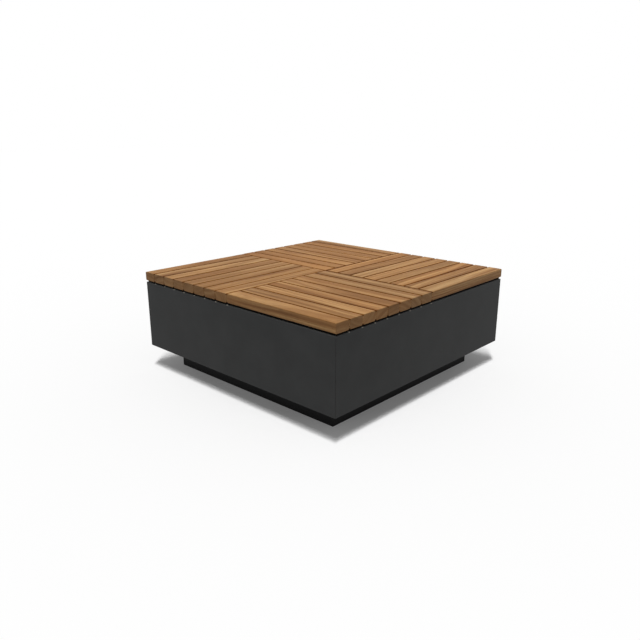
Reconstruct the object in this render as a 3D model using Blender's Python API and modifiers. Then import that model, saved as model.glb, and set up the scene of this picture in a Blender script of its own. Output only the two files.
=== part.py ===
"""Square slatted seat: hardwood slats in four fields on a folded sheet body with a recessed plinth.

Metres, +Z up. The origin is on the floor, in the middle of the plinth. Front is -Y and right is +X.
"""

import math

import bmesh
import bpy
from mathutils import Matrix, Vector

# Seat slats
SLAT_WIDTH = 0.072
SLAT_THICKNESS = 0.040
SLAT_GAP = 0.0035
SLATS_PER_FIELD = 8
SLAT_EDGE_RADIUS = 0.005
SLAT_END_EDGE = 0.001
SLAT_OVERHANG = 0.001

# Heights of the three visible bands under the slats
PLINTH_HEIGHT = 0.105
BODY_HEIGHT = 0.319
SHADOW_GAP = 0.008

# Fits
SEAT_GAP = 0.0003
PANEL_SEAM = 0.001
THREAD_CLEARANCE = 0.0002

# Side panels, folded from sheet
PANEL_SHEET = 0.003
BEND_RADIUS = 0.003
TOP_RETURN = 0.030
BOTTOM_LAP = 0.055

# Welded frame inside the panels: a ledge for the beams and an angle in each corner
FRAME_WALL = 0.004
LEDGE_WIDTH = 0.060
LEDGE_SKIRT = 0.012
CORNER_ANGLE = 0.040

# Cross of two tubes under the middle of the seat, and the tube legs below it
BEAM_WIDTH = 0.060
BEAM_HEIGHT = 0.040
BEAM_WALL = 0.003
LEG_SIDE = 0.040
LEG_WALL = 0.003
LEG_SETBACK = 0.010

# Flat bars that the slats are screwed to
BATTEN_WIDTH = 0.030
BATTEN_SETBACK = 0.014
BATTEN_END_GAP = 0.002
BATTEN_EDGE = 0.001

# Plinth, folded from sheet, with a plate and a nut in each corner
PLINTH_INSET = 0.105
PLINTH_SHEET = 0.003
PLINTH_RETURN = 0.060
PLINTH_LIP = 0.025
CORNER_PLATE_DROP = 0.036
CORNER_PLATE_THICKNESS = 0.006
CORNER_PLATE_MARGIN = 0.012
NUT_FLATS = 0.024
NUT_HEIGHT = 0.013

# Levelling feet, wound in
PAD_RADIUS = 0.020
PAD_EDGE = 0.001
PAD_RIM_HEIGHT = 0.005
PAD_NECK_RADIUS = 0.012
PAD_HEIGHT = 0.014
PAD_LIFT = 0.001
PAD_SIDE_GAP = 0.003
SOCKET_DEPTH = 0.008
SPIGOT_RADIUS = 0.007
COLLAR_FLATS = 0.024
COLLAR_HEIGHT = 0.010
STUD_RADIUS = 0.008
STUD_CHAMFER = 0.0015
STUD_STANDOUT = 0.026

# Facets of the curved surfaces
BEND_STEPS = 3
EDGE_STEPS = 3
ROUND_STEPS = 24

# Edges that turn by more than this many degrees are sharp
SHARP_ANGLE = 60

# Sizes that follow from the ones above
FIELD_SIDE = SLATS_PER_FIELD * SLAT_WIDTH + (SLATS_PER_FIELD - 1) * SLAT_GAP
TOP_HALF = FIELD_SIDE + SLAT_GAP / 2
BODY_HALF = TOP_HALF - SLAT_OVERHANG
PLINTH_HALF = BODY_HALF - PLINTH_INSET
BODY_TOP = PLINTH_HEIGHT + BODY_HEIGHT
SLAT_BOTTOM = BODY_TOP + SHADOW_GAP
BOTTOM_RETURN = PLINTH_INSET + BOTTOM_LAP
FRAME_HALF = BODY_HALF - PANEL_SHEET - SEAT_GAP
BODY_FLOOR = PLINTH_HEIGHT + PANEL_SHEET
BEAM_BOTTOM = BODY_TOP - BEAM_HEIGHT
LEDGE_TOP = BEAM_BOTTOM - SEAT_GAP
PLATE_TOP = PLINTH_HEIGHT - SEAT_GAP - PLINTH_SHEET - CORNER_PLATE_DROP
PLATE_BOTTOM = PLATE_TOP - CORNER_PLATE_THICKNESS
FOOT_OFFSET = PLINTH_LIP + PAD_SIDE_GAP + PAD_RADIUS
FOOT_PLACE = PLINTH_HALF - FOOT_OFFSET
SPIGOT_BOTTOM = PAD_LIFT + PAD_HEIGHT - SOCKET_DEPTH + SEAT_GAP
COLLAR_BOTTOM = PAD_LIFT + PAD_HEIGHT + SEAT_GAP
COLLAR_TOP = COLLAR_BOTTOM + COLLAR_HEIGHT

SIDES = ("front", "right", "back", "left")
CORNERS = ("front_left", "front_right", "back_right", "back_left")
QUARTER_TURN = math.pi / 2
HEXAGON = 6


def clear_scene():
    for old in list(bpy.data.objects):
        bpy.data.objects.remove(old, do_unlink=True)


def new_collection(name):
    collection = bpy.data.collections.new(name)
    bpy.context.scene.collection.children.link(collection)
    return collection


def linear(byte):
    """One channel of an sRGB colour, 0 to 255, as a linear share."""
    share = byte / 255
    return share / 12.92 if share <= 0.04045 else ((share + 0.055) / 1.055) ** 2.4


def new_material(name, rgb, roughness, metallic):
    material = bpy.data.materials.new(name)
    material.use_nodes = True
    shader = material.node_tree.nodes["Principled BSDF"]
    colour = (*(linear(channel) for channel in rgb), 1)
    shader.inputs["Base Color"].default_value = colour
    shader.inputs["Roughness"].default_value = roughness
    shader.inputs["Metallic"].default_value = metallic
    material.diffuse_color = colour
    return material


def place(name, mesh, material, location=(0, 0, 0), turn=0.0, parent=None):
    """Puts a mesh in the scene as a named piece, turned about the vertical."""
    piece = bpy.data.objects.new(name, mesh)
    if not mesh.materials:
        mesh.materials.append(material)
    piece.location = location
    piece.rotation_euler.z = turn
    piece.parent = parent
    parts.objects.link(piece)
    return piece


def make_guide(name, mesh, location=(0, 0, 0), turn=0.0):
    """A shape that only cuts or joins another piece."""
    guide = bpy.data.objects.new(name, mesh)
    guide.location = location
    guide.rotation_euler.z = turn
    guide.display_type = "WIRE"
    guide.hide_render = True
    guides.objects.link(guide)
    return guide


def combine(piece, guide, operation):
    step = piece.modifiers.new(guide.name, "BOOLEAN")
    step.operation = operation
    step.solver = "EXACT"
    step.object = guide


def box_mesh(name, low, high):
    """A box between two corners."""
    low, high = Vector(low), Vector(high)
    shape = bmesh.new()
    bmesh.ops.create_cube(shape, size=1)
    size = Matrix.Diagonal((*(high - low), 1))
    bmesh.ops.transform(shape, matrix=Matrix.Translation((low + high) / 2) @ size, verts=shape.verts)
    mesh = bpy.data.meshes.new(name)
    shape.to_mesh(mesh)
    shape.free()
    return mesh


def prism_mesh(name, radius, low, high, sides):
    """An upright prism or cylinder, with its corners at radius."""
    shape = bmesh.new()
    bmesh.ops.create_cone(
        shape, cap_ends=True, segments=sides, radius1=radius, radius2=radius, depth=high - low
    )
    bmesh.ops.translate(shape, vec=(0, 0, (low + high) / 2), verts=shape.verts)
    mesh = bpy.data.meshes.new(name)
    shape.to_mesh(mesh)
    shape.free()
    return mesh


def hexagon_radius(flats):
    return flats / 2 / math.cos(math.pi / HEXAGON)


def extruded_mesh(name, outline, half_length):
    """A flat outline in X and Y, extruded half_length each way along Z."""
    curve = bpy.data.curves.new(name, "CURVE")
    curve.dimensions = "2D"
    curve.fill_mode = "BOTH"
    curve.extrude = half_length
    spline = curve.splines.new("POLY")
    spline.points.add(len(outline) - 1)
    for point, (x, y) in zip(spline.points, outline):
        point.co = (x, y, 0, 1)
    spline.use_cyclic_u = True
    source = bpy.data.objects.new(name, curve)
    bpy.context.scene.collection.objects.link(source)
    depsgraph = bpy.context.evaluated_depsgraph_get()
    mesh = bpy.data.meshes.new_from_object(source.evaluated_get(depsgraph))
    bpy.data.objects.remove(source)
    shape = bmesh.new()
    shape.from_mesh(mesh)
    bmesh.ops.remove_doubles(shape, verts=shape.verts, dist=1e-6)
    bmesh.ops.recalc_face_normals(shape, faces=shape.faces)
    shape.to_mesh(mesh)
    shape.free()
    return mesh


def arc(centre, radius, start, end, steps):
    """Points on an arc, from the start angle to the end angle in degrees."""
    angles = (math.radians(start + (end - start) * i / steps) for i in range(steps + 1))
    return [(centre[0] + radius * math.cos(a), centre[1] + radius * math.sin(a)) for a in angles]


def turned(piece, steps):
    """Sweeps a profile in X and Z once round the vertical."""
    screw = piece.modifiers.new("Screw", "SCREW")
    screw.axis = "Z"
    screw.angle = 2 * math.pi
    screw.steps = steps
    screw.render_steps = steps
    screw.use_merge_vertices = True
    screw.merge_threshold = 1e-5


def profile_mesh(name, points, closed):
    """Edges through points in X and Z. Down its outer side, the profile runs top to bottom."""
    edges = [(i, i + 1) for i in range(len(points) - 1)]
    if closed:
        edges.append((len(points) - 1, 0))
    mesh = bpy.data.meshes.new(name)
    mesh.from_pydata([(x, 0, z) for x, z in points], edges, [])
    return mesh


def square_ring(name, half_side, section, material, location=(0, 0, 0)):
    """A square ring with mitred corners: a section of insets and heights, swept in four steps.

    The sweep's corners lie on the diagonals, so the section is stretched by their slope.
    """
    slope = math.sqrt(2)
    mesh = profile_mesh(name, [((half_side - inset) * slope, z) for inset, z in section], True)
    ring = place(name, mesh, material, location, QUARTER_TURN / 2)
    turned(ring, len(SIDES))
    return ring


def around(x, y, z, quarter):
    """A place in the front left quarter, carried round to another quarter."""
    return Matrix.Rotation(quarter * QUARTER_TURN, 4, "Z") @ Vector((x, y, z))


def slat_outline():
    """The slat seen from its end, with its four long edges rounded."""
    side = SLAT_WIDTH / 2 - SLAT_EDGE_RADIUS
    rise = SLAT_THICKNESS / 2 - SLAT_EDGE_RADIUS
    centres = ((side, rise), (-side, rise), (-side, -rise), (side, -rise))
    outline = []
    for quarter, centre in enumerate(centres):
        start = 90 * quarter
        outline += arc(centre, SLAT_EDGE_RADIUS, start, start + 90, EDGE_STEPS)
    return outline


def make_slats(material):
    """Four square fields of slats, each a quarter turn on from the last."""
    mesh = extruded_mesh("slat", slat_outline(), FIELD_SIDE / 2)
    mesh.transform(Matrix.Rotation(QUARTER_TURN, 4, "X"))
    row = -(SLAT_GAP + FIELD_SIDE) / 2
    height = SLAT_BOTTOM + SLAT_THICKNESS / 2
    for quarter, field in enumerate(CORNERS):
        for number in range(SLATS_PER_FIELD):
            across = -TOP_HALF + SLAT_WIDTH / 2 + number * (SLAT_WIDTH + SLAT_GAP)
            slat = place(
                f"slat_{field}_{number + 1}",
                mesh,
                material,
                around(across, row, height, quarter),
                quarter * QUARTER_TURN,
            )
            soften(slat, SLAT_END_EDGE)


def soften(piece, width):
    """Takes the sharp edges off a piece. Edges that an arc has rounded already stay as they are."""
    bevel = piece.modifiers.new("Bevel", "BEVEL")
    bevel.width = width
    bevel.segments = 1
    bevel.limit_method = "ANGLE"
    bevel.angle_limit = math.radians(SHARP_ANGLE)


def make_battens(material):
    """Two flat bars across each field: one on the panels' top fold, one on the cross beam."""
    start = -BODY_HALF + BATTEN_SETBACK
    end = -SLAT_GAP / 2 - BATTEN_END_GAP
    low = BODY_TOP + SEAT_GAP
    high = SLAT_BOTTOM - SEAT_GAP
    outer = box_mesh("outer_batten", (start, start, low), (end, start + BATTEN_WIDTH, high))
    inner = box_mesh("inner_batten", (start, end - BATTEN_WIDTH, low), (end, end, high))
    for quarter, field in enumerate(CORNERS):
        for kind, mesh in (("outer", outer), ("inner", inner)):
            batten = place(f"batten_{field}_{kind}", mesh, material, turn=quarter * QUARTER_TURN)
            soften(batten, BATTEN_EDGE)


def panel_section():
    """The folded sheet seen from its end: inset from the outer face, and height."""
    top_bend = (BEND_RADIUS, BODY_TOP - BEND_RADIUS)
    bottom_bend = (BEND_RADIUS, PLINTH_HEIGHT + BEND_RADIUS)
    outside = [(TOP_RETURN, BODY_TOP)]
    outside += arc(top_bend, BEND_RADIUS, 90, 180, BEND_STEPS)
    outside += arc(bottom_bend, BEND_RADIUS, 180, 270, BEND_STEPS)
    outside += [(BOTTOM_RETURN, PLINTH_HEIGHT)]
    inside = [
        (BOTTOM_RETURN, BODY_FLOOR),
        (PANEL_SHEET, BODY_FLOOR),
        (PANEL_SHEET, BODY_TOP - PANEL_SHEET),
        (TOP_RETURN, BODY_TOP - PANEL_SHEET),
    ]
    return outside + inside


def make_panels(material):
    """Four folded panels. Every point stops short of the corner by its own inset, which mitres the ends."""
    mesh = extruded_mesh("panel", panel_section(), 1)
    for vertex in mesh.vertices:
        inset, height, end = vertex.co
        reach = BODY_HALF - inset - PANEL_SEAM / 2
        vertex.co = (math.copysign(reach, end), inset - BODY_HALF, height)
    shape = bmesh.new()
    shape.from_mesh(mesh)
    bmesh.ops.recalc_face_normals(shape, faces=shape.faces)
    shape.to_mesh(mesh)
    shape.free()
    for quarter, side in enumerate(SIDES):
        place(f"{side}_panel", mesh, material, turn=quarter * QUARTER_TURN)


def make_inner_frame(material):
    """A ledge round the inside of the panels, on an angle that stands in each corner."""
    top = BODY_TOP - PANEL_SHEET - SEAT_GAP
    bottom = BODY_FLOOR + SEAT_GAP
    ledge_bottom = LEDGE_TOP - FRAME_WALL
    section = [
        (0, top),
        (0, bottom),
        (FRAME_WALL, bottom),
        (FRAME_WALL, ledge_bottom),
        (LEDGE_WIDTH, ledge_bottom),
        (LEDGE_WIDTH, LEDGE_TOP),
        (FRAME_WALL, LEDGE_TOP),
        (FRAME_WALL, top),
    ]
    frame = square_ring("inner_frame", FRAME_HALF, section, material)
    open_half = FRAME_HALF - CORNER_ANGLE
    past = BODY_HALF
    window_top = ledge_bottom - LEDGE_SKIRT
    low, high = (-open_half, -past, 0), (open_half, past, window_top)
    for quarter, name in enumerate(("window_front_back", "window_left_right")):
        guide = make_guide(name, box_mesh(name, low, high), turn=quarter * QUARTER_TURN)
        combine(frame, guide, "DIFFERENCE")


def make_cross_beam(material):
    """Two rectangular tubes welded into a cross, open at their four ends."""
    reach = BODY_HALF - TOP_RETURN - SEAT_GAP
    half = BEAM_WIDTH / 2
    bore = half - BEAM_WALL
    low, high = (-reach, -half, BEAM_BOTTOM), (reach, half, BODY_TOP)
    beam = place("cross_beam", box_mesh("cross_beam", low, high), material)
    arm = make_guide("cross_arm", box_mesh("cross_arm", low, high), turn=QUARTER_TURN)
    combine(beam, arm, "UNION")
    low = (-BODY_HALF, -bore, BEAM_BOTTOM + BEAM_WALL)
    high = (BODY_HALF, bore, BODY_TOP - BEAM_WALL)
    for quarter, name in enumerate(("bore_x", "bore_y")):
        guide = make_guide(name, box_mesh(name, low, high), turn=quarter * QUARTER_TURN)
        combine(beam, guide, "DIFFERENCE")


def make_legs(material):
    """A square tube under each arm of the cross, standing over the plinth's top fold."""
    section = [
        (0, BEAM_BOTTOM - SEAT_GAP),
        (0, BODY_FLOOR + SEAT_GAP),
        (LEG_WALL, BODY_FLOOR + SEAT_GAP),
        (LEG_WALL, BEAM_BOTTOM - SEAT_GAP),
    ]
    out = PLINTH_HALF - LEG_SETBACK - LEG_SIDE / 2
    for quarter, side in enumerate(SIDES):
        square_ring(f"leg_{side}", LEG_SIDE / 2, section, material, around(0, -out, 0, quarter))


def make_plinth(material):
    """The recessed ring, with a plate and a nut for a levelling foot welded in each corner."""
    top = PLINTH_HEIGHT - SEAT_GAP
    section = [
        (0, top),
        (0, 0),
        (PLINTH_LIP, 0),
        (PLINTH_LIP, PLINTH_SHEET),
        (PLINTH_SHEET, PLINTH_SHEET),
        (PLINTH_SHEET, top - PLINTH_SHEET),
        (PLINTH_RETURN, top - PLINTH_SHEET),
        (PLINTH_RETURN, top),
    ]
    plinth = square_ring("plinth", PLINTH_HALF, section, material)
    nut_radius = hexagon_radius(NUT_FLATS)
    bore_radius = STUD_RADIUS / math.cos(math.pi / ROUND_STEPS) + THREAD_CLEARANCE
    corner = FOOT_OFFSET - PLINTH_SHEET / 2
    side = 2 * corner + math.sqrt(2) * (nut_radius + CORNER_PLATE_MARGIN)
    outline = [(-corner, -corner), (side - corner, -corner), (-corner, side - corner)]
    plate = extruded_mesh("corner_plate", outline, CORNER_PLATE_THICKNESS / 2)
    nut = prism_mesh("nut", nut_radius, PLATE_BOTTOM - NUT_HEIGHT, PLATE_TOP - PLINTH_SHEET, HEXAGON)
    bore = prism_mesh("nut_bore", bore_radius, 0, PLINTH_HEIGHT, ROUND_STEPS)
    plate_height = (PLATE_TOP + PLATE_BOTTOM) / 2
    joins = (("corner_plate", plate, plate_height, "UNION"), ("nut", nut, 0, "UNION"))
    cuts = (("nut_bore", bore, 0, "DIFFERENCE"),)
    for kind, mesh, height, operation in joins + cuts:
        for quarter, name in enumerate(CORNERS):
            spot = around(-FOOT_PLACE, -FOOT_PLACE, height, quarter)
            guide = make_guide(f"{kind}_{name}", mesh, spot, quarter * QUARTER_TURN)
            combine(plinth, guide, operation)


def pad_section():
    """From the floor of the socket out over the neck and the rim, and back under the pad."""
    top = PAD_LIFT + PAD_HEIGHT
    socket = SPIGOT_RADIUS + SEAT_GAP
    return [
        (0, top - SOCKET_DEPTH),
        (socket, top - SOCKET_DEPTH),
        (socket, top),
        (PAD_NECK_RADIUS, top),
        (PAD_RADIUS, PAD_LIFT + PAD_RIM_HEIGHT),
        (PAD_RADIUS, PAD_LIFT + PAD_EDGE),
        (PAD_RADIUS - PAD_EDGE, PAD_LIFT),
        (0, PAD_LIFT),
    ]


def stud_section():
    """From the top of the stud down its side, in to the spigot that turns in the pad."""
    top = PLATE_TOP + STUD_STANDOUT
    shoulder = COLLAR_BOTTOM + COLLAR_HEIGHT / 2
    return [
        (0, top),
        (STUD_RADIUS - STUD_CHAMFER, top),
        (STUD_RADIUS, top - STUD_CHAMFER),
        (STUD_RADIUS, shoulder),
        (SPIGOT_RADIUS, shoulder),
        (SPIGOT_RADIUS, SPIGOT_BOTTOM),
        (0, SPIGOT_BOTTOM),
    ]


def make_feet(pad_material, stud_material):
    """In each corner, a pad that slides down and a stud that turns in the plinth's nut."""
    pad_mesh = profile_mesh("foot_pad", pad_section(), False)
    stud_mesh = profile_mesh("foot_stud", stud_section(), False)
    collar = prism_mesh("collar", hexagon_radius(COLLAR_FLATS), COLLAR_BOTTOM, COLLAR_TOP, HEXAGON)
    for quarter, corner in enumerate(CORNERS):
        spot = around(-FOOT_PLACE, -FOOT_PLACE, 0, quarter)
        axis = bpy.data.objects.new(f"foot_axis_{corner}", None)
        axis.location = spot
        parts.objects.link(axis)
        pad = place(f"foot_pad_{corner}", pad_mesh, pad_material, parent=axis)
        turned(pad, ROUND_STEPS)
        stud = place(f"foot_stud_{corner}", stud_mesh, stud_material, parent=pad)
        turned(stud, ROUND_STEPS)
        combine(stud, make_guide(f"collar_{corner}", collar, spot), "UNION")


clear_scene()
parts = new_collection("square_slatted_seat")
guides = new_collection("cutters")

hardwood = new_material("hardwood", (166, 126, 86), 0.55, 0.0)
body_paint = new_material("body_paint", (54, 54, 55), 0.5, 0.0)
plinth_paint = new_material("plinth_paint", (26, 26, 27), 0.6, 0.0)
frame_steel = new_material("frame_steel", (140, 143, 146), 0.45, 1.0)
batten_paint = new_material("batten_paint", (22, 22, 23), 0.6, 0.0)
stud_steel = new_material("stud_steel", (176, 178, 180), 0.3, 1.0)
pad_plastic = new_material("pad_plastic", (30, 30, 31), 0.7, 0.0)

make_slats(hardwood)
make_battens(batten_paint)
make_panels(body_paint)
make_inner_frame(frame_steel)
make_cross_beam(frame_steel)
make_legs(frame_steel)
make_plinth(plinth_paint)
make_feet(pad_plastic, stud_steel)
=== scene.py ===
"""Looks of the square slatted seat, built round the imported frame. Metres, +Z up."""

import math
import random

import bmesh
import bpy
from mathutils import Matrix, Vector


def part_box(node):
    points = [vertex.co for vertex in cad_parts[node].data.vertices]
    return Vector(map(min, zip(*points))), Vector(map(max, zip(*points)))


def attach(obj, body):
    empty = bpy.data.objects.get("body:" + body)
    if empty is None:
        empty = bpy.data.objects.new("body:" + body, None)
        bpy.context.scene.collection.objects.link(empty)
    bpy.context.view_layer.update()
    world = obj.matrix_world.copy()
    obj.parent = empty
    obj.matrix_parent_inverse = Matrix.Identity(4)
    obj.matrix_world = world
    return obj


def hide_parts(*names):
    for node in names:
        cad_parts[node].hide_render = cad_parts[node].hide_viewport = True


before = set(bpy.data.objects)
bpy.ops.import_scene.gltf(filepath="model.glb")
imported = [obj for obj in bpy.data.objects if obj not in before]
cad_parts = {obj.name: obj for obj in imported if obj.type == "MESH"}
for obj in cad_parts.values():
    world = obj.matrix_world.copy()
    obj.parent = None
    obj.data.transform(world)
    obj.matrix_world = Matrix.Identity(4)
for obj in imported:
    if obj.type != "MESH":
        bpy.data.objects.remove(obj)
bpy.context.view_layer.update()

# Camera, fitted to the straight edges of the photograph
CAMERA_PLACE = (1.9781, -2.1600, 1.1240)
CAMERA_YAW = 42.987
CAMERA_PITCH = 17.090
CAMERA_LENS = 35.21
SENSOR_WIDTH = 36.0

# Light. A white surface that faces up renders at SUN_SHARE + SKY_SHARE.
SUN_SHARE = 0.86
SKY_SHARE = 0.14
SUN_SLOPE = (0.133, -0.17)
SUN_ROW = (0.35, 0.66, 0.79, 1.0, 1.28, 1.65, 2.25)
SUN_WIDTH = 4.5

# Floor: what the camera sees, and what it throws back at the seat
FLOOR_SIZE = 60.0
FLOOR_TONE = 0.81
FLOOR_LIFT = 0.192
FLOOR_SHADE = 0.0285
FLOOR_NEAR = 0.60
FLOOR_FALL = -2.0
FLOOR_BOUNCE = 0.45

FIELDS = ("front_left", "front_right", "back_right", "back_left")
SIDES = ("front", "right", "back", "left")
SLATS_PER_FIELD = 8
QUARTER_TURN = math.pi / 2

# Most of a noise's values lie in this span, round the middle
NOISE_SPAN = (0.3, 0.7)
NOISE_MIDDLE = 0.5

# Hardwood, as linear colours from the darkest streak to the palest
WOOD_STREAKS = (
    (0.26, (0.178, 0.070, 0.017)),
    (0.42, (0.280, 0.126, 0.035)),
    (0.54, (0.360, 0.177, 0.056)),
    (0.72, (0.496, 0.275, 0.101)),
)
FACE_CONTRAST = 1.30
END_CONTRAST = 0.60
WOOD_ROUGHNESS = (0.66, 0.54)
GAP_ROUGHNESS = 0.3

# How one slat differs from the next
WOOD_SEED = 12
TONE_SPREAD = 0.07
WARMTH_SPREAD = 0.045
BLUE_AGAINST_WARMTH = 1.6
PITH_SIDE = (0.01, 0.12)
PITH_DEPTH = (0.05, 0.20)
PITH_SKEW = 0.05
NOISE_SHIFT = 50

# Grain. A scale is in waves to a metre: along the slat, across it and up. Tones are factors on the colour.
RING_SCALE = 62
RING_WANDER = 0.030
WANDER_SCALE = (1.6, 4)
STREAK_SCALE = 0.9
FIBRE_SCALE = (16, 620, 620)
PORE_SCALE = (34, 380, 380)
BLOTCH_SCALE = (2.4, 9, 9)
FIBRE_TONES = (0.88, 1.10)
BLOTCH_TONES = (0.90, 1.10)
PORE_LEVEL = (0.60, 0.72)
PORE_TONES = (1.0, 0.68)

# Painted shade in the gaps and on the outer rounded edges, painted light where the gaps open to the outside,
# and the tone of the ends and upright faces, as factors on the wood's colour
GAP_SHADE = (0.42, 0.26, 0.10, 1)
OPEN_GAP_LIGHT = (1.45, 1.58, 1.90, 1)
OUTER_EDGE_SHADE = (0.54, 0.51, 0.47, 1)
END_TONE = 0.80
UPRIGHT_SATURATION = 0.95

# How far the painted shade and light and the ends' tone reach from a slat's own faces, in pairs: where a
# change starts, and where it ends
GAP_SHADE_REACH = (0.001325, 0.0053)
OPEN_GAP_REACH = (0.0045, 0.0120)
OPEN_GAP_LIGHT_START = (0.0002, 0.0010)
END_SKIN = (0.0004, 0.0030)
EDGE_REACH = (0.0040, 0.0070)
NOTCH_DEPTH = (0.0065, 0.0035)

# Which way a face looks, from 0 for level to 1 for up, in the same kind of pairs
UPRIGHT_TO_FLAT = (0.3, 0.8)
OFF_THE_TOP = (0.98, 0.75)
OFF_THE_SIDE = (0.05, 0.50)

# Powder coats
BODY_PAINT = (0.058, 0.059, 0.059)
PLINTH_PAINT = (0.0065, 0.0065, 0.0068)
BATTEN_PAINT = (0.005, 0.005, 0.005)

# Painted light on the panels' top edge, where light falls through the gaps between the slats' ends, in the
# same
# kind of pairs: from a gap, down from the top, in from the face, past the middle of the side, and from the
# corner, which alone is in shares of the slats' spacing
GAP_LIGHT_PATCH = (0.25, 0.235, 0.205, 1)
MARK_REACH = (0.0005, 0.0074)
MARK_WANDER = 0.0012
MARK_DROP = (0.0052, 0.0002)
MARK_DEPTH = (0.008, 0.016)
MARK_PAST_MIDDLE = (0.006, 0.012)
MARK_FROM_CORNER = (0.4, 0.6)

# Levelling studs
THREAD_PITCH = 0.002
THREAD_CREST = 0.0080
THREAD_ROOT = 0.0070
THREAD_STEPS = 4
THREAD_UNDERCUT = (0.0006, 0.0016)
THREAD_START = 0.0020
THREAD_END = 0.0015
THREAD_TAPER = 0.0003
SPIGOT_LENGTH = 0.008
SPIGOT_RADIUS = 0.0070
STUD_CHAMFER = 0.0008
COLLAR_HEIGHT = 0.010
COLLAR_FLATS = 0.024
COLLAR_CHAMFER = 0.0012
COLLAR_FACE = 0.96
COLLAR_RIM = 1.13

# Bolts through the plinth's top fold. A head's end: heights above it, and where its corners are turned off.
PLINTH_SHEET = 0.003
BOLT_FLATS = 0.013
BOLT_HEAD = 0.0054
BOLT_END = ((0.0, 0.95), (0.0003, 1.03), (0.0008, 1.13))
BOLT_INSET = 0.030
BOLT_PLACES = (-0.33, -0.12, 0.12, 0.33)
WASHER_RADIUS = 0.0084
WASHER_THICKNESS = 0.0016
WASHER_EDGE = 0.0003

# Wood screws up through the outer battens. A head's crown: heights against the batten, and radii.
SCREW_LINE = -0.5635
SCREW_RADIUS = 0.0040
SCREW_SHANK = 0.0022
SCREW_SINK = 0.0026
SCREW_CROWN = ((-0.0004, 0.0034), (-0.0002, 0.0040))
SOCKET_FLATS = 0.0030
SOCKET_DEPTH = 0.0012
SOCKET_MOUTH = -0.0003

# A near-black strip that stands for the shade in the gap under the slats, set in from the panels' faces,
# between their top fold and the slats
STRIP_INSET = 0.006
STRIP_WIDTH = 0.007
STRIP_CORNER = 0.0012
STRIP_PLAY = 0.0001

# Shading of pieces
WELD_REACH = 0.00001
SHARP_ANGLE = 35


class Graph:
    """The nodes of one material or world. An input is another node's output or a plain value."""

    def __init__(self, tree):
        tree.nodes.clear()
        self.tree = tree

    def node(self, kind, inputs=None, **settings):
        made = self.tree.nodes.new("ShaderNode" + kind)
        for name, value in settings.items():
            setattr(made, name, value)
        for socket, value in (inputs or {}).items():
            if isinstance(value, bpy.types.NodeSocket):
                self.tree.links.new(value, made.inputs[socket])
            else:
                made.inputs[socket].default_value = value
        return made

    def math(self, operation, a, b=0.0):
        return self.node("Math", {0: a, 1: b}, operation=operation).outputs[0]

    def sum(self, a, b):
        return self.math("ADD", a, b)

    def less(self, a, b):
        return self.math("SUBTRACT", a, b)

    def times(self, a, b):
        return self.math("MULTIPLY", a, b)

    def least(self, a, b):
        return self.math("MINIMUM", a, b)

    def vector(self, x, y, z):
        return self.node("CombineXYZ", {0: x, 1: y, 2: z}).outputs[0]

    def split(self, vector):
        return self.node("SeparateXYZ", {0: vector}).outputs

    def length(self, vector):
        return self.node("VectorMath", {0: vector}, operation="LENGTH").outputs["Value"]

    def moved(self, vector, factors, shift=0.0):
        """A vector stretched by factors, then carried off by one distance on every axis."""
        inputs = {0: vector, 1: factors, 2: (shift,) * 3}
        return self.node("VectorMath", inputs, operation="MULTIPLY_ADD").outputs[0]

    def object_place(self):
        return self.node("TexCoord").outputs["Object"]

    def turned_place(self, turn, centre=(0, 0, 0)):
        """Coordinates from a centre, in a frame turned about the vertical."""
        location = -(Matrix.Rotation(-turn, 3, "Z") @ Vector(centre))
        inputs = {"Vector": self.object_place(), "Location": location, "Rotation": (0, 0, -turn)}
        return self.node("Mapping", inputs).outputs[0]

    def noise(self, vector, detail=2.0, roughness=0.5, scale=1.0):
        inputs = {"Vector": vector, "Scale": scale, "Detail": detail, "Roughness": roughness}
        return self.node("TexNoise", inputs).outputs["Fac"]

    def remap(self, value, start, end, low=0.0, high=1.0):
        inputs = {0: value, 1: start, 2: end, 3: low, 4: high}
        return self.node("MapRange", inputs).outputs[0]

    def fade(self, value, start, end, low=0.0, high=1.0):
        """From low at start to high at end, with soft shoulders."""
        inputs = {0: value, 1: start, 2: end, 3: low, 4: high}
        return self.node("MapRange", inputs, interpolation_type="SMOOTHSTEP").outputs[0]

    def span(self, noise, low, high):
        """From low to high over most of a noise's values."""
        return self.remap(noise, *NOISE_SPAN, low, high)

    def mix(self, share, a, b, blend="MIX"):
        inputs = {0: share, 6: a, 7: b}
        return self.node("Mix", inputs, data_type="RGBA", blend_type=blend).outputs[2]

    def shade(self, colour, factor, share=1.0):
        """A colour multiplied by a number or by another colour, wholly or by a share."""
        return self.mix(share, colour, factor, "MULTIPLY")

    def ramp(self, value, stops):
        made = self.node("ValToRGB", {0: value})
        elements = made.color_ramp.elements
        while len(elements) < len(stops):
            elements.new(1.0)
        for element, (position, colour) in zip(elements, stops):
            element.position = position
            element.color = (*colour, 1)
        return made.outputs[0]

    def bump(self, height, strength, distance):
        inputs = {"Height": height, "Strength": strength, "Distance": distance}
        return self.node("Bump", inputs).outputs[0]

    def finish(self, shader):
        output = self.node("OutputMaterial")
        self.tree.links.new(shader.outputs[0], output.inputs["Surface"])

    def finish_surface(self, colour, roughness, normal, specular=0.5, metallic=0.0):
        inputs = {
            "Base Color": colour,
            "Metallic": metallic,
            "Roughness": roughness,
            "Specular IOR Level": specular,
            "Normal": normal,
        }
        self.finish(self.node("BsdfPrincipled", inputs))


def new_graph(name):
    material = bpy.data.materials.new(name)
    material.use_nodes = True
    return material, Graph(material.node_tree)


def dress(node, material):
    """Gives a CAD node its material."""
    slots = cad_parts[node].data.materials
    slots.clear()
    slots.append(material)


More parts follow.
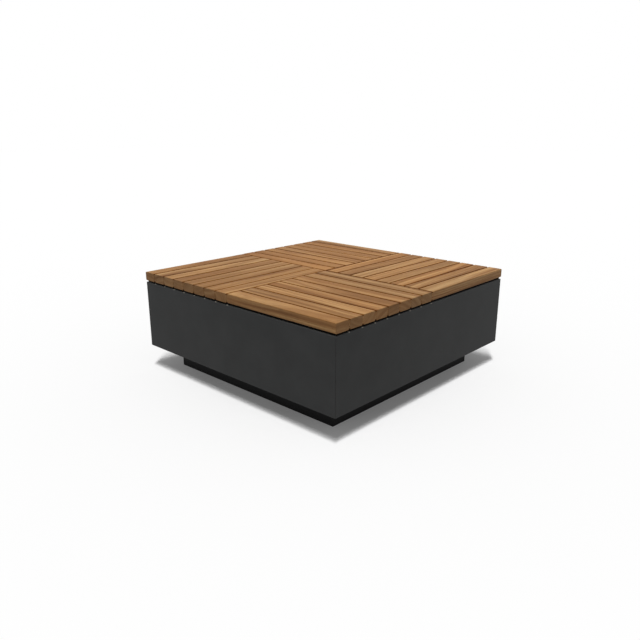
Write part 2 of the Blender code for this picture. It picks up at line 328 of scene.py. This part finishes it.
def growth_rings(graph, along, across, up, shift, draw):
    """Streaks that follow rings round a pith beside the slat. The pith lies askew, and the rings wander."""
    pith_side = draw.choice((-1, 1)) * draw.uniform(*PITH_SIDE)
    pith_depth = draw.choice((-1, 1)) * draw.uniform(*PITH_DEPTH)
    askew = draw.uniform(-PITH_SKEW, PITH_SKEW)
    side = graph.less(graph.sum(across, graph.times(along, askew)), pith_side)
    radius = graph.length(graph.vector(0, side, graph.less(up, pith_depth)))
    slow_along = graph.sum(graph.times(along, WANDER_SCALE[0]), shift)
    slow_place = graph.vector(slow_along, graph.times(across, WANDER_SCALE[1]), up)
    rings = graph.sum(radius, graph.times(graph.noise(slow_place), RING_WANDER))
    streak_along = graph.sum(graph.times(along, STREAK_SCALE), shift)
    streak_place = graph.vector(streak_along, graph.times(rings, RING_SCALE), shift)
    return graph.noise(streak_place, detail=5, roughness=0.62)


def streak_colours(draw):
    """The wood's colours for one slat, a little warmer or cooler, and a little darker or paler."""
    warmth = draw.uniform(-WARMTH_SPREAD, WARMTH_SPREAD)
    tone = draw.uniform(1 - TONE_SPREAD, 1 + TONE_SPREAD)
    tint = (tone * (1 + warmth), tone, tone * (1 - BLUE_AGAINST_WARMTH * warmth))
    return [(at, tuple(c * t for c, t in zip(colour, tint))) for at, colour in WOOD_STREAKS]


def gap_shade_and_light(graph, along, across, up, half, outermost):
    """How much painted shade from the gaps and how much painted light a slat shows.

    The wood is painted darker towards the gaps: painted shade, as it falls down in them. Just inside the
    seat's outer faces the gaps lie open to the light, so that shade is left out and the wood is painted
    lighter, but not in the notches that the rounded edges make at top and bottom.
    """
    to_outer_end = graph.sum(along, half[0])
    to_outer_side = graph.less(half[1], across)
    to_gap = graph.least(graph.sum(across, half[1]), graph.less(half[0], along))
    if outermost:
        to_outside = graph.least(to_outer_end, to_outer_side)
    else:
        to_outside = to_outer_end
        to_gap = graph.least(to_gap, to_outer_side)
    by_gap = graph.fade(to_gap, *GAP_SHADE_REACH, 1.0, 0.0)
    low_notch, high_notch = (half[2] - depth for depth in NOTCH_DEPTH)
    between_notches = graph.fade(graph.math("ABSOLUTE", up), low_notch, high_notch, 1.0, 0.0)
    # Near the outer faces the gaps' painted shade is left out, and painted light takes its place on the
    # flanks
    open_gap = graph.times(graph.fade(to_outside, *OPEN_GAP_REACH, 1.0, 0.0), between_notches)
    gap_shade = graph.times(by_gap, graph.less(1.0, open_gap))
    gap_light = graph.times(graph.times(by_gap, open_gap), graph.fade(to_outside, *OPEN_GAP_LIGHT_START))
    return gap_shade, gap_light


def wood_material(name, centre, half, turn, outermost, draw):
    """One slat's wood, in which the grain of the top, the sides and the ends agrees.

    Along the slat, plus is towards the neighbouring field. Across it, plus is outwards.
    """
    material, graph = new_graph(name)
    place = graph.turned_place(turn, centre)
    along, across, up = graph.split(place)
    shift = draw.uniform(0, NOISE_SHIFT)
    streaks = growth_rings(graph, along, across, up, shift, draw)
    fibres = graph.noise(graph.moved(place, FIBRE_SCALE, shift), detail=2)
    pores = graph.noise(graph.moved(place, PORE_SCALE, shift), detail=1)
    blotches = graph.noise(graph.moved(place, BLOTCH_SCALE, shift), detail=2)
    to_outer_end = graph.sum(along, half[0])
    contrast = graph.fade(to_outer_end, *END_SKIN, END_CONTRAST, FACE_CONTRAST)
    spread = graph.sum(graph.times(graph.less(streaks, NOISE_MIDDLE), contrast), NOISE_MIDDLE)
    colour = graph.ramp(spread, streak_colours(draw))
    colour = graph.shade(colour, graph.span(fibres, *FIBRE_TONES))
    colour = graph.shade(colour, graph.span(blotches, *BLOTCH_TONES))
    colour = graph.shade(colour, graph.remap(pores, *PORE_LEVEL, *PORE_TONES))

    # Painted shade down in the gaps between the slats, and painted light where the gaps open to the outside
    gap_shade, gap_light = gap_shade_and_light(graph, along, across, up, half, outermost)
    colour = graph.shade(colour, GAP_SHADE, gap_shade)
    colour = graph.shade(colour, OPEN_GAP_LIGHT, gap_light)

    # Sawn ends drink more oil, and upright faces are drawn a little less saturated than flat ones
    colour = graph.shade(colour, graph.fade(to_outer_end, *END_SKIN, END_TONE, 1.0))
    facing = graph.split(graph.node("NewGeometry").outputs["True Normal"])[2]
    saturation = graph.fade(facing, *UPRIGHT_TO_FLAT, UPRIGHT_SATURATION, 1.0)
    colour = graph.node("HueSaturation", {"Color": colour, "Saturation": saturation}).outputs[0]

    # Painted shade on the rounded top edge of a field's outermost slat, darker where it turns from the top
    # towards the side
    if outermost:
        rounded = graph.times(graph.fade(facing, *OFF_THE_TOP), graph.fade(facing, *OFF_THE_SIDE))
        at_edge = graph.fade(graph.less(half[1], across), *EDGE_REACH, 1.0, 0.0)
        colour = graph.shade(colour, OUTER_EDGE_SHADE, graph.times(rounded, at_edge))

    roughness = graph.sum(graph.span(streaks, *WOOD_ROUGHNESS), graph.times(gap_shade, GAP_ROUGHNESS))
    grain = graph.sum(graph.times(streaks, 0.6), graph.times(fibres, 0.4))
    relief = graph.bump(grain, strength=0.35, distance=0.0008)
    graph.finish_surface(colour, roughness, relief, specular=0.15)
    return material


def painted_gap_light(graph, turn):
    """1 where light falling through the gaps between the slats' ends is painted on a panel's top edge."""
    place = graph.turned_place(turn)
    along, across, up = graph.split(place)
    first, second = (sum(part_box(f"slat_front_left_{number}"), Vector()) / 2 for number in (1, 2))
    spacing = second.x - first.x
    low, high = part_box("front_panel")
    wander = graph.span(graph.noise(place, detail=3, scale=260), -MARK_WANDER, MARK_WANDER)
    to_gap = graph.sum(graph.math("PINGPONG", along, spacing / 2), wander)
    mark = graph.fade(to_gap, *MARK_REACH, 1.0, 0.0)
    corner = (low.x + share * spacing for share in MARK_FROM_CORNER)
    mark = graph.times(mark, graph.fade(along, *corner))
    mark = graph.times(mark, graph.fade(along, *MARK_PAST_MIDDLE, 1.0, 0.0))
    edge = (high.z - drop for drop in MARK_DROP)
    mark = graph.times(mark, graph.fade(up, *edge))
    fold = (low.y + depth for depth in MARK_DEPTH)
    return graph.times(mark, graph.fade(across, *fold, 1.0, 0.0))


def powder_coat(name, paint, specular, roughness, panel_turn=None):
    """Paint baked from powder: a fine orange peel, with a faint unevenness in its tone."""
    material, graph = new_graph(name)
    place = graph.object_place()
    cloud = graph.noise(place, detail=3, scale=7)
    speckle = graph.noise(place, detail=2, scale=900)
    peel = graph.noise(place, detail=2, scale=420)
    dark, pale = (tuple(channel * tone for channel in paint) for tone in (0.90, 1.10))
    colour = graph.ramp(cloud, tuple(zip(NOISE_SPAN, (dark, pale))))
    colour = graph.shade(colour, graph.remap(speckle, 0.35, 0.65, 0.92, 1.08))
    if panel_turn is not None:
        # Pale patches of painted light under the gaps between the slats' ends
        colour = graph.mix(painted_gap_light(graph, panel_turn), colour, GAP_LIGHT_PATCH)
    rough = graph.span(cloud, roughness - 0.04, roughness + 0.04)
    relief = graph.bump(graph.sum(peel, graph.times(speckle, 0.4)), strength=0.25, distance=0.0004)
    graph.finish_surface(colour, rough, relief, specular)
    return material


def galvanised(name):
    """Dull zinc with its crystals."""
    material, graph = new_graph(name)
    place = graph.object_place()
    crystals = graph.node("TexVoronoi", {"Vector": place, "Scale": 70})
    grain = graph.node("SeparateColor", {0: crystals.outputs["Color"]}).outputs[0]
    cloud = graph.noise(place, detail=3, scale=9)
    tone = graph.sum(graph.times(grain, 0.35), graph.times(cloud, 0.65))
    colour = graph.ramp(tone, ((0.25, (0.20, 0.21, 0.22)), (0.75, (0.36, 0.37, 0.385))))
    roughness = graph.remap(grain, 0.0, 1.0, 0.38, 0.58)
    relief = graph.bump(grain, strength=0.08, distance=0.0003)
    graph.finish_surface(colour, roughness, relief, metallic=0.85)
    return material


def bright_steel(name):
    """Turned stainless steel, with fine marks round its axis."""
    material, graph = new_graph(name)
    marks = graph.noise(graph.moved(graph.object_place(), (30, 30, 1800)), detail=2)
    colour = graph.ramp(marks, ((0.3, (0.38, 0.39, 0.40)), (0.7, (0.50, 0.51, 0.52))))
    relief = graph.bump(marks, strength=0.15, distance=0.0002)
    graph.finish_surface(colour, graph.span(marks, 0.24, 0.38), relief, metallic=1.0)
    return material


def moulded_nylon(name):
    """Black nylon with a slightly cloudy skin."""
    material, graph = new_graph(name)
    cloud = graph.noise(graph.object_place(), detail=4, scale=60)
    colour = graph.ramp(cloud, ((0.3, (0.010, 0.010, 0.010)), (0.7, (0.020, 0.020, 0.019))))
    relief = graph.bump(cloud, strength=0.2, distance=0.0003)
    graph.finish_surface(colour, graph.span(cloud, 0.55, 0.75), relief)
    return material


def foam_rubber(name):
    """Black sponge rubber with small open cells."""
    material, graph = new_graph(name)
    cells = graph.noise(graph.object_place(), detail=3, roughness=0.7, scale=900)
    colour = graph.ramp(cells, ((0.35, (0.0015, 0.0015, 0.0015)), (0.65, (0.0050, 0.0050, 0.0048))))
    relief = graph.bump(cells, strength=0.5, distance=0.0005)
    graph.finish_surface(colour, graph.span(cells, 0.95, 0.82), relief, specular=0.05)
    return material


def dress_slats():
    draw = random.Random(WOOD_SEED)
    for quarter, field in enumerate(FIELDS):
        turn = QUARTER_TURN * (quarter + 1)
        for number in range(1, SLATS_PER_FIELD + 1):
            node = f"slat_{field}_{number}"
            low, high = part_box(node)
            half = tuple(side / 2 for side in sorted(high - low, reverse=True))
            name = f"wood_{field}_{number}"
            dress(node, wood_material(name, (low + high) / 2, half, turn, number == 1, draw))
            round_shading(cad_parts[node])


def round_shading(piece):
    """Lets light run smoothly over the rounded edges of a faceted solid."""
    weld = piece.modifiers.new("Weld", "WELD")
    weld.merge_threshold = WELD_REACH
    piece.data.shade_smooth()
    normals = piece.modifiers.new("WeightedNormal", "WEIGHTED_NORMAL")
    normals.weight = 100


def dress_metal():
    plinth = powder_coat("plinth_powder", PLINTH_PAINT, specular=0.15, roughness=0.60)
    batten = powder_coat("batten_powder", BATTEN_PAINT, specular=0.15, roughness=0.65)
    zinc = galvanised("zinc")
    for quarter, side in enumerate(SIDES):
        turn = quarter * QUARTER_TURN
        dress(f"{side}_panel", powder_coat(f"powder_{side}", BODY_PAINT, 0.045, 0.52, turn))
        dress(f"leg_{side}", zinc)
    for field in FIELDS:
        for kind in ("outer", "inner"):
            dress(f"batten_{field}_{kind}", batten)
    dress("inner_frame", zinc)
    dress("cross_beam", zinc)
    dress("plinth", plinth)


def hexagon(flats, limit=math.inf):
    """The radius of a hexagon at an angle. Its corners are turned off at a limit, in halves of its width."""

    def radius(angle):
        from_flat = (angle + math.pi / 6) % (math.pi / 3) - math.pi / 6
        return flats / 2 * min(1 / math.cos(from_flat), limit)

    return radius


def thread(height):
    """The radius of a right-hand thread at an angle, at one height."""

    def radius(angle):
        turns = (height / THREAD_PITCH - angle / (2 * math.pi)) % 1.0
        return THREAD_ROOT + (THREAD_CREST - THREAD_ROOT) * abs(2 * turns - 1)

    return radius


def add_turned(shape, rows, spot=(0, 0, 0), segments=48):
    """Adds a closed body round the vertical, from rows of a height and a radius.

    The rows run upwards, but for those of a hollow that the body starts in.
    """
    rings = []
    for height, radius in rows:
        angles = [2 * math.pi * step / segments for step in range(segments)]
        reaches = [radius(angle) if callable(radius) else radius for angle in angles]
        points = [(r * math.cos(a), r * math.sin(a), height) for a, r in zip(angles, reaches)]
        rings.append([shape.verts.new(Vector(point) + Vector(spot)) for point in points])
    for lower, upper in zip(rings, rings[1:]):
        for step in range(segments):
            after = (step + 1) % segments
            shape.faces.new((lower[step], lower[after], upper[after], upper[step]))
    shape.faces.new(rings[0][::-1])
    shape.faces.new(rings[-1])


def new_piece(name, shape, material, body):
    """Turns a built shape into a piece that moves with one CAD body."""
    mesh = bpy.data.meshes.new(name)
    shape.to_mesh(mesh)
    shape.free()
    mesh.shade_smooth()
    mesh.set_sharp_from_angle(angle=math.radians(SHARP_ANGLE))
    mesh.materials.append(material)
    piece = bpy.data.objects.new(name, mesh)
    bpy.context.scene.collection.objects.link(piece)
    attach(piece, body)
    return piece


def stud_rows(low, high):
    """A plain spigot, a hexagonal collar and a thread up to a chamfered top."""
    shoulder = low + SPIGOT_LENGTH
    collar = shoulder + COLLAR_HEIGHT
    rows = [(low, SPIGOT_RADIUS - STUD_CHAMFER), (low + STUD_CHAMFER, SPIGOT_RADIUS)]
    rows += [(shoulder, SPIGOT_RADIUS)]
    face = hexagon(COLLAR_FLATS, COLLAR_FACE)
    rim = hexagon(COLLAR_FLATS, COLLAR_RIM)
    rows += [(shoulder, face), (shoulder + COLLAR_CHAMFER, rim)]
    rows += [(collar - COLLAR_CHAMFER, rim), (collar, face)]
    rows += [(collar, THREAD_CREST)]
    rows += [(collar + rise, THREAD_ROOT) for rise in THREAD_UNDERCUT]
    start = collar + THREAD_START
    end = high - THREAD_END
    count = round((end - start) / THREAD_PITCH * THREAD_STEPS)
    heights = [start + (end - start) * step / count for step in range(count + 1)]
    rows += [(height, thread(height)) for height in heights]
    return rows + [(high - STUD_CHAMFER, THREAD_ROOT - THREAD_TAPER), (high, THREAD_ROOT - STUD_CHAMFER)]


def dress_feet(steel):
    nylon = moulded_nylon("nylon")
    for corner in FIELDS:
        dress(f"foot_pad_{corner}", nylon)
        node = f"foot_stud_{corner}"
        low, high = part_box(node)
        centre = (low + high) / 2
        shape = bmesh.new()
        add_turned(shape, stud_rows(low.z, high.z), (centre.x, centre.y, 0))
        stud = new_piece(f"threaded_{node}", shape, steel, f"stud_{corner}")
        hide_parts(node)


def make_plinth_bolts(steel):
    """Hexagon bolts with washers, up through the plinth's top fold into the panels' bottom folds."""
    low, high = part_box("plinth")
    face = high.z - PLINTH_SHEET
    bottom = -WASHER_THICKNESS - BOLT_HEAD
    rows = [(bottom + rise, hexagon(BOLT_FLATS, limit)) for rise, limit in BOLT_END]
    rows += [(-WASHER_THICKNESS, hexagon(BOLT_FLATS))]
    rim = WASHER_RADIUS - WASHER_EDGE
    rows += [(-WASHER_THICKNESS, rim), (WASHER_EDGE - WASHER_THICKNESS, WASHER_RADIUS)]
    rows += [(-WASHER_EDGE, WASHER_RADIUS), (0.0, rim)]
    shape = bmesh.new()
    for quarter in range(len(SIDES)):
        turn = Matrix.Rotation(quarter * QUARTER_TURN, 3, "Z")
        for along in BOLT_PLACES:
            add_turned(shape, rows, turn @ Vector((along, low.y + BOLT_INSET, face)))
    new_piece("plinth_bolts", shape, steel, "root")


def make_slat_screws(steel):
    """Countersunk heads with a socket, under the outer battens where they reach past the panels' fold."""
    socket = hexagon(SOCKET_FLATS)
    rows = [(SOCKET_DEPTH, socket), (SOCKET_MOUTH, socket), *SCREW_CROWN]
    rows += [(0.0, SCREW_RADIUS), (SCREW_SINK, SCREW_SHANK)]
    shape = bmesh.new()
    for quarter, field in enumerate(FIELDS):
        low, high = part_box(f"batten_{field}_outer")
        turn = Matrix.Rotation(quarter * QUARTER_TURN, 3, "Z")
        for number in range(1, SLATS_PER_FIELD + 1):
            slat_low, slat_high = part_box(f"slat_{field}_{number}")
            across = (turn.inverted() @ ((slat_low + slat_high) / 2)).x
            add_turned(shape, rows, turn @ Vector((across, SCREW_LINE, low.z)), segments=24)
    new_piece("slat_screws", shape, steel, "root")


def make_gap_shade_strip():
    """Near-black sponge rubber round the panels' top fold, close behind its bend: a dark strip put in the gap
    under the slats to stand for its shade.
    """
    low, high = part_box("front_panel")
    outer = -low.y - STRIP_INSET
    inner = outer - STRIP_WIDTH
    bottom = high.z + STRIP_PLAY
    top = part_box("slat_front_left_1")[0].z - STRIP_PLAY
    cut = STRIP_CORNER
    section = [(outer, bottom + cut), (outer, top - cut), (outer - cut, top), (inner + cut, top)]
    section += [(inner, top - cut), (inner, bottom + cut), (inner + cut, bottom), (outer - cut, bottom)]
    shape = bmesh.new()
    corners = []
    for quarter in range(len(SIDES)):
        turn = Matrix.Rotation(quarter * QUARTER_TURN, 3, "Z")
        points = [turn @ Vector((-reach, -reach, height)) for reach, height in section]
        corners.append([shape.verts.new(point) for point in points])
    for here, after in zip(corners, corners[1:] + corners[:1]):
        for step in range(len(section)):
            other = (step + 1) % len(section)
            shape.faces.new((here[step], after[step], after[other], here[other]))
    bmesh.ops.recalc_face_normals(shape, faces=shape.faces)
    new_piece("gap_shade_strip", shape, foam_rubber("rubber"), "root")


def seen_directly(graph):
    """1 for a ray that shows the backdrop: to the camera, or in gloss or glass."""
    path = graph.node("LightPath").outputs
    seen = graph.math("MAXIMUM", path["Is Camera Ray"], path["Is Glossy Ray"])
    return graph.math("MAXIMUM", seen, path["Is Transmission Ray"])


def make_floor():
    mesh = bpy.data.meshes.new("floor")
    half = FLOOR_SIZE / 2
    corners = [(-half, -half, 0), (half, -half, 0), (half, half, 0), (-half, half, 0)]
    mesh.from_pydata(corners, [], [(0, 1, 2, 3)])
    floor = bpy.data.objects.new("floor", mesh)
    bpy.context.scene.collection.objects.link(floor)
    material, graph = new_graph("floor")
    shown = graph.node("BsdfDiffuse", {"Color": (FLOOR_TONE, FLOOR_TONE, FLOOR_TONE, 1)})
    distance = graph.math("MAXIMUM", graph.length(graph.object_place()), FLOOR_NEAR)
    shade = graph.times(graph.math("POWER", distance, FLOOR_FALL), FLOOR_SHADE)
    lift = graph.node("Emission", {"Color": (1, 1, 1, 1), "Strength": graph.less(FLOOR_LIFT, shade)})
    lifted = graph.node("AddShader", {0: shown.outputs[0], 1: lift.outputs[0]})
    bounce = graph.node("BsdfDiffuse", {"Color": (FLOOR_BOUNCE, FLOOR_BOUNCE, FLOOR_BOUNCE, 1)})
    seen = seen_directly(graph)
    graph.finish(graph.node("MixShader", {0: seen, 1: bounce.outputs[0], 2: lifted.outputs[0]}))
    mesh.materials.append(material)


def make_sky():
    world = bpy.data.worlds.new("sky")
    bpy.context.scene.world = world
    world.use_nodes = True
    graph = Graph(world.node_tree)
    strength = graph.remap(seen_directly(graph), 0, 1, SKY_SHARE, 1.0)
    background = graph.node("Background", {"Color": (1, 1, 1, 1), "Strength": strength})
    output = graph.node("OutputWorld")
    world.node_tree.links.new(background.outputs[0], output.inputs["Surface"])


def make_suns():
    """A row of suns from near the zenith down one side of the sky, like a long soft light."""
    for number, step in enumerate(SUN_ROW, 1):
        towards = Vector((step * SUN_SLOPE[0], step * SUN_SLOPE[1], 1.0)).normalized()
        lamp = bpy.data.lights.new(f"sun_{number}", "SUN")
        lamp.energy = math.pi * SUN_SHARE / len(SUN_ROW) / towards.z
        lamp.angle = math.radians(SUN_WIDTH)
        sun = bpy.data.objects.new(f"sun_{number}", lamp)
        sun.rotation_euler = (-towards).to_track_quat("-Z", "Y").to_euler()
        bpy.context.scene.collection.objects.link(sun)


def make_camera():
    data = bpy.data.cameras.new("camera")
    data.lens = CAMERA_LENS
    data.sensor_width = SENSOR_WIDTH
    camera = bpy.data.objects.new("camera", data)
    camera.location = CAMERA_PLACE
    camera.rotation_euler = (math.radians(90 - CAMERA_PITCH), 0, math.radians(CAMERA_YAW))
    bpy.context.scene.collection.objects.link(camera)
    bpy.context.scene.camera = camera


make_camera()
dress_slats()
dress_metal()
stainless = bright_steel("stainless")
dress_feet(stainless)
make_plinth_bolts(stainless)
make_slat_screws(stainless)
make_gap_shade_strip()
make_floor()
make_sky()
make_suns()
bpy.context.scene.view_settings.view_transform = "Standard"
